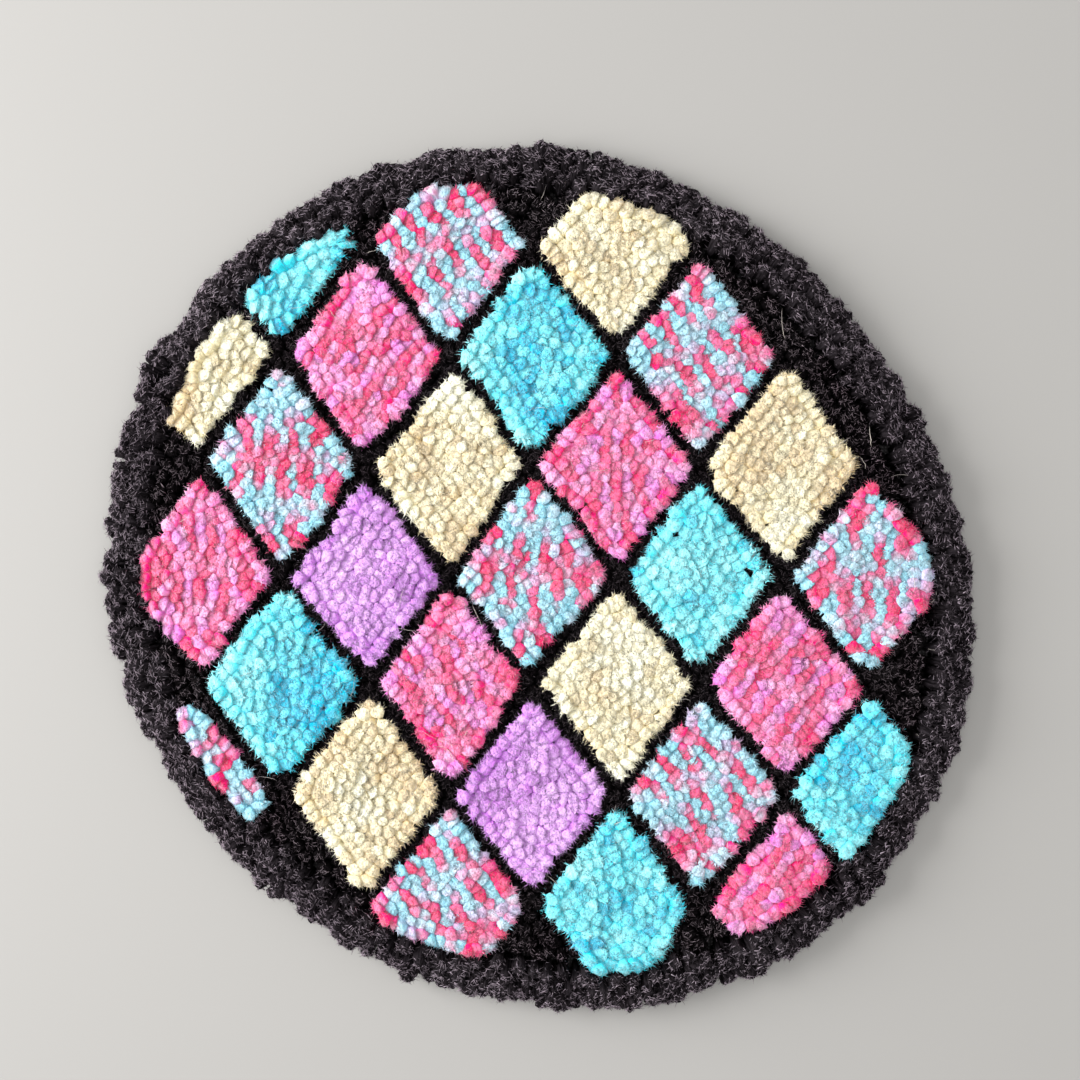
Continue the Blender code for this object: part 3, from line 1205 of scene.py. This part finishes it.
def layHairs(name, dice):
    # a bent three-sided tube for each hair, laid on the highest tufts under it
    parts = hairs["parts"]
    points, faces, maps = [], [], []
    cells = math.ceil(math.sqrt(hairs["count"]))
    tops = treeOf([(tuft["x"], tuft["y"]) for tuft in fieldTufts])
    for number in range(hairs["count"]):
        turn = dice.uniform(0, math.tau)
        radius = (footRadius(turn) + hairs["past"]) * math.sqrt(dice.uniform(hairs["nearest"], 1))
        place = Vector((radius * math.cos(turn), radius * math.sin(turn)))
        heading = dice.uniform(0, math.tau)
        curl = dice.gauss(0, 1) * hairs["bend"] / parts
        step = dice.uniform(*hairs["length"]) / parts
        first = len(points)
        for part in range(parts + 1):
            along = Vector((math.cos(heading), math.sin(heading)))
            room = max(0.0, edgeRoom(place.x, place.y))
            share = min(1.0, room / rim["fieldEdge"])
            nearest = fieldTufts[tops.find((place.x, place.y, 0))[1]]
            field = nearest["length"] * math.cos(nearest["tip"] * hairs["sunk"]) + pile["rootHeight"]
            ripple = 1 + math.sin(part * hairs["ripple"] + number)
            height = field * (hairs["atEdge"] + (1 - hairs["atEdge"]) * share) + hairs["lift"] * ripple
            for corner in range(3):
                angle = math.tau * corner / 3
                thick = hairs["halfWidth"] * (hairs["tipWidth"] if part in (0, parts) else 1)
                across = thick * math.cos(angle)
                points.append(
                    (
                        place.x - along.y * across,
                        place.y + along.x * across,
                        height + thick * math.sin(angle),
                    )
                )
            place += along * step
            heading += curl + dice.gauss(0, hairs["looseBend"])
        for part in range(parts):
            for corner in range(3):
                a = first + 3 * part + corner
                b = first + 3 * part + (corner + 1) % 3
                faces.append((a, b, b + 3, a + 3))
        end = first + 3 * parts
        faces += [(first + 2, first + 1, first), (end, end + 1, end + 2)]
        # the map: the hair's three sides in the left of its cell, its two ends in the right
        column, row = number % cells, number // cells
        for part in range(parts):
            for corner in range(3):
                low, high = 0.06 + 0.84 * part / parts, 0.06 + 0.84 * (part + 1) / parts
                left, right = 0.06 + 0.28 * corner, 0.06 + 0.28 * (corner + 1)
                corners = ((left, low), (right, low), (right, high), (left, high))
                maps += [((column + u) / cells, (row + v) / cells) for u, v in corners]
        for low in (0.06, 0.5):
            corners = ((0.92, low), (0.97, low), (0.95, low + 0.3))
            maps += [((column + u) / cells, (row + v) / cells) for u, v in corners]
    mesh = bpy.data.meshes.new(name)
    mesh.from_pydata(points, [], faces)
    mesh.uv_layers.new(name="OFBake").data.foreach_set("uv", np.array(maps).ravel())
    mesh.shade_smooth()
    piece = bpy.data.objects.new(name, mesh)
    bpy.context.scene.collection.objects.link(piece)
    print("laid", name, hairs["count"], "hairs,", len(mesh.polygons), "faces")
    return piece


def hairMaterial():
    material = bpy.data.materials.new("loose_hair")
    material.use_nodes = True
    tree = material.node_tree
    shader = tree.nodes["Principled BSDF"]
    coords = tree.nodes.new("ShaderNodeTexCoord").outputs["Object"]
    shades = addNode(tree, "ShaderNodeTexNoise", Scale=160.0, Detail=1.0)
    tree.links.new(coords, shades.inputs["Vector"])
    ramp = rampNode(tree, [(0.35, srgb(150, 140, 142)), (0.65, srgb(236, 226, 214))])
    tree.links.new(shades.outputs["Fac"], ramp.inputs["Fac"])
    tree.links.new(ramp.outputs["Color"], shader.inputs["Base Color"])
    shader.inputs["Roughness"].default_value = 0.6
    return material


# the pile, one piece for each yarn
pieces = []
pieceNames = {
    "cream": "pileCream",
    "lavender": "pileLavender",
    "sky": "pileSky",
    "pink": "pilePink",
    "mix": "pilePinkBlue",
}
for yarn, name in pieceNames.items():
    piece = layPile(name, [t for t in fieldTufts if t["yarn"] == yarn], dice)
    piece.data.materials.append(materials[yarn])
    pieces.append(piece)
blackTufts = [t for t in fieldTufts if t["yarn"] == "black"]
for name, group in (
    ("pileGroundLeft", [t for t in blackTufts if t["x"] < 0]),
    ("pileGroundRight", [t for t in blackTufts if t["x"] >= 0]),
    ("pileRimLeft", [t for t in rimTufts if t["x"] < 0]),
    ("pileRimRight", [t for t in rimTufts if t["x"] >= 0]),
):
    piece = layPile(name, group, dice)
    piece.data.materials.append(materials["rim" if "Rim" in name else "black"])
    pieces.append(piece)

looseHairs = layHairs("looseHairs", dice)
looseHairs.data.materials.append(hairMaterial())
pieces.append(looseHairs)

for piece in [foundation, *pieces]:
    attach(piece, "root")
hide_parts("tufted_rug")

# studio: a pale floor, a broad soft light from the left, and a little light from all round
studio = {
    "floor": (0.36, 0.35, 0.335, 1),
    "floorSize": 6,
    "floorDrop": 0.0003,  # below the rug's underside
    "floorRoughness": 0.75,
    "key": {"location": (-1.15, 0.22, 0.56), "size": 0.90, "energy": 30},
    "fill": {"location": (0.10, -0.05, 1.40), "size": 1.60, "energy": 8},
    "ambient": 0.69,
}


def makeStudio():
    deselectAll()
    bpy.ops.mesh.primitive_plane_add(size=studio["floorSize"], location=(0, 0, -studio["floorDrop"]))
    floor = bpy.context.object
    floor.name = "floor"
    material = bpy.data.materials.new("paleFloor")
    material.use_nodes = True
    shader = material.node_tree.nodes["Principled BSDF"]
    shader.inputs["Base Color"].default_value = studio["floor"]
    shader.inputs["Roughness"].default_value = studio["floorRoughness"]
    floor.data.materials.append(material)
    for name in ("key", "fill"):
        lamp = studio[name]
        place = Vector(lamp["location"])
        bpy.ops.object.light_add(
            type="AREA", location=place, rotation=place.to_track_quat("Z", "Y").to_euler()
        )
        light = bpy.context.object
        light.name = name
        light.data.size = lamp["size"]
        light.data.energy = lamp["energy"]
    world = bpy.data.worlds.new("studio")
    world.use_nodes = True
    background = world.node_tree.nodes["Background"]
    background.inputs["Color"].default_value = (1, 1, 1, 1)
    background.inputs["Strength"].default_value = studio["ambient"]
    bpy.context.scene.world = world
    bpy.context.scene.view_settings.view_transform = "Standard"


makeStudio()
